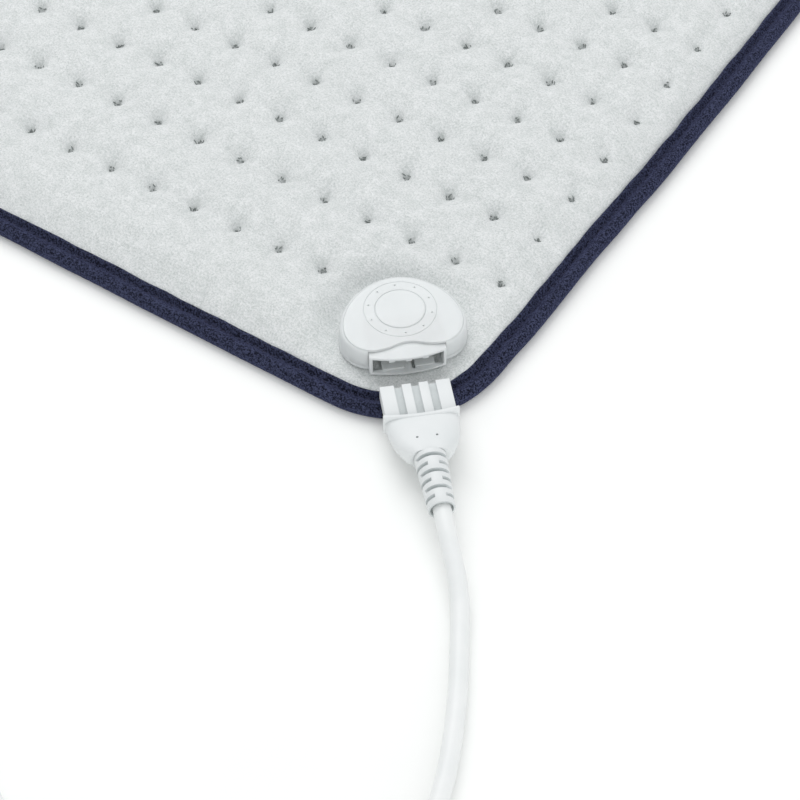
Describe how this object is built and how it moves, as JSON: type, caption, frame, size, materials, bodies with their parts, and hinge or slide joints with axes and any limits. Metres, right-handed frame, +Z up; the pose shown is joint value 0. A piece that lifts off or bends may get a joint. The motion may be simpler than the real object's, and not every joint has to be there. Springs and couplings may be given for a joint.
{
  "type": "heating pad",
  "caption": "Flat tufted plush heating pad with a navy hem, a corner socket, a plug-in lead with a slide-switch hand controller and a wound mains lead.",
  "frame": {"origin": "on the table, under the middle of the pad", "axes": "+X along the pad's long side, towards the side whose corner carries the socket; +Y along its short side, away from the socket's corner; +Z up through the pad's thickness"},
  "size_m": [0.4917, 0.5043, 0.0242],
  "materials": {
    "plush": "short plush fleece, sewn in tufts",
    "hem": "navy fleece tape, stitched",
    "felt": "needled felt",
    "wire": "insulated heating wire",
    "housing": "moulded, satin",
    "plug_plastic": "soft moulded PVC, satin",
    "cord": "smooth PVC sheath",
    "carrier": "moulded",
    "contact": "drawn, bright",
    "steel": "zinc-plated",
    "lead_wire": "insulated",
    "knob": "moulded, satin",
    "button": "moulded, satin",
    "window": "clear amber, polished",
    "board": "solder mask",
    "component": "moulded",
    "fuse_glass": "clear tube",
    "tie": "woven hook tape",
    "pin": "nickel-plated"
  },
  "bodies": {
    "pad_set": {"pad_top_cover": "plush", "pad_bottom_cover": "plush", "element_felt": "felt", "edge_binding": "hem", "heating_wire": "wire", "overheat_guard": "steel", "socket_base": "housing", "socket_cover": "housing", "contact_carrier": "carrier", "socket_contact_1": "contact", "socket_contact_2": "contact", "socket_contact_3": "contact", "socket_backing_bar": "carrier", "socket_screw_1": "steel", "socket_screw_2": "steel", "element_lead_1": "lead_wire", "element_lead_2": "lead_wire", "pad_lead": "cord", "handset_lower_shell": "housing", "handset_upper_shell": "housing", "circuit_board": "board", "level_switch": "component", "button_switch": "component", "fuse": "fuse_glass", "lamp": "window", "lamp_window": "window", "handset_screw_1": "steel", "handset_screw_2": "steel", "handset_screw_3": "steel", "handset_screw_4": "steel", "pad_lead_relief": "plug_plastic", "mains_lead_relief": "plug_plastic", "mains_lead": "cord", "mains_coil": "cord", "coil_tie": "tie", "mains_tail": "cord", "mains_plug_relief": "plug_plastic", "mains_plug_body": "plug_plastic", "mains_pin_1": "pin", "mains_pin_2": "pin"},
    "lead_plug": {"plug_nose": "plug_plastic", "plug_body": "plug_plastic", "plug_contact_1": "contact", "plug_contact_2": "contact", "plug_contact_3": "contact", "plug_relief": "plug_plastic"},
    "level_slider": {"level_slider": "knob"},
    "power_button": {"power_button": "button"}
  },
  "joints": [
    {"name": "plug_slide", "type": "slide", "parent": "pad_set", "child": "lead_plug", "axis": [-0.6756, 0.7373, 0], "range_m": [0, 0.022]},
    {"name": "level_slide", "type": "slide", "parent": "pad_set", "child": "level_slider", "axis": [1, 0, 0], "range_m": [0, 0.018]},
    {"name": "button_press", "type": "slide", "parent": "pad_set", "child": "power_button", "axis": [0, 0, -1], "range_m": [0, 0.001], "stiffness_N_per_m": 1000, "springref_m": -0.0005}
  ]
}
